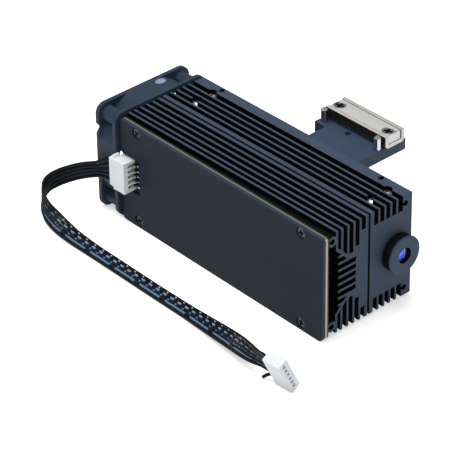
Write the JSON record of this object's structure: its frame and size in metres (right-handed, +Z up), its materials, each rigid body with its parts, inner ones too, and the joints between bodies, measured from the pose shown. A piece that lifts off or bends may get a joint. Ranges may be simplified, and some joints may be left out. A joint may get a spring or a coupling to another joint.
{
  "type": "infrared laser module",
  "caption": "Finned laser module with a cooling fan, driver board under a cover, focus ring, side bracket with a magnet bar, and a ribbon cable with a plug.",
  "frame": {"origin": "middle of the underside of the module's box, without the cable and its plugs", "axes": "+X along the beam, out of the focus ring; +Y from the cover towards the bracket; +Z up"},
  "size_m": [0.1335, 0.0961, 0.04],
  "materials": {
    "sink_anodised": "fine blasted black anodising, satin",
    "cover_black": "smooth black lacquer, satin",
    "board_laminate": "glass-epoxy laminate with bare pale edges",
    "screw_black": "black oxide, satin",
    "screw_bright": "bright zinc plating",
    "ferrite": "dark moulded ferrite",
    "chip_black": "black moulding compound",
    "capacitor_tan": "tan ceramic",
    "white_nylon": "off-white nylon moulding",
    "tinned_pins": "bright tin plating",
    "fan_black": "black glass-filled plastic, slight sheen",
    "rotor_black": "black plastic",
    "shaft_steel": "ground steel",
    "magnet_rubber": "bonded ferrite",
    "stator_iron": "stamped electrical sheet",
    "bearing_bronze": "sintered bronze",
    "ring_anodised": "turned, dark anodised",
    "cell_anodised": "turned, black anodised",
    "coated_glass": "blue antireflection coating",
    "diode_gold": "gold-plated flange and cap",
    "lead_sleeve": "black insulating sleeve",
    "arm_black": "black, satin",
    "nickel_sheet": "bright nickel plating",
    "magnet_nickel": "bright nickel plating",
    "cable_black": "black vinyl insulation with pale printed marks"
  },
  "bodies": {
    "module": {"laser_block": "sink_anodised", "fin_block": "sink_anodised", "cover_plate": "cover_black", "driver_board": "board_laminate", "cover_screws": "screw_black", "block_screws": "screw_bright", "power_inductor": "ferrite", "driver_chips": "chip_black", "board_capacitors": "capacitor_tan", "header_housing": "white_nylon", "header_pins": "tinned_pins", "fan_frame": "fan_black", "fan_stator": "stator_iron", "fan_bearing": "bearing_bronze", "fan_screws": "screw_black", "ring_clip": "shaft_steel", "guide_pin": "shaft_steel", "laser_diode": "diode_gold", "diode_ring": "cell_anodised", "diode_leads": "lead_sleeve", "bracket_arm": "arm_black", "bracket_screws": "screw_black", "magnet_channel": "nickel_sheet", "magnet_bar": "magnet_nickel", "magnet_screws": "screw_black", "locating_pins": "screw_bright", "module_plug": "white_nylon", "ribbon_cable": "cable_black", "far_plug": "white_nylon", "strand_stub": "cable_black"},
    "fan_rotor": {"fan_rotor": "rotor_black", "fan_shaft": "shaft_steel", "rotor_magnet": "magnet_rubber"},
    "focus_ring": {"focus_ring": "ring_anodised"},
    "lens_cell": {"lens_cell": "cell_anodised", "focus_lens": "coated_glass", "lens_retainer": "cell_anodised"}
  },
  "joints": [
    {"name": "fan_spin", "type": "hinge", "parent": "module", "child": "fan_rotor", "pos_m": [-0.05105, -0.01095, 0.02], "axis": [1, 0, 0], "continuous": true},
    {"name": "focus_turn", "type": "hinge", "parent": "module", "child": "focus_ring", "pos_m": [0.05395, 0.001, 0.02], "axis": [1, 0, 0], "range_deg": [-360, 360]},
    {"name": "focus_slide", "type": "slide", "parent": "module", "child": "lens_cell", "axis": [1, 0, 0], "range_m": [-0.0005, 0.0005]}
  ],
  "couplings": [
    {"joint": "focus_slide", "follows": "focus_turn", "m_per_rad": 0.00007957}
  ]
}
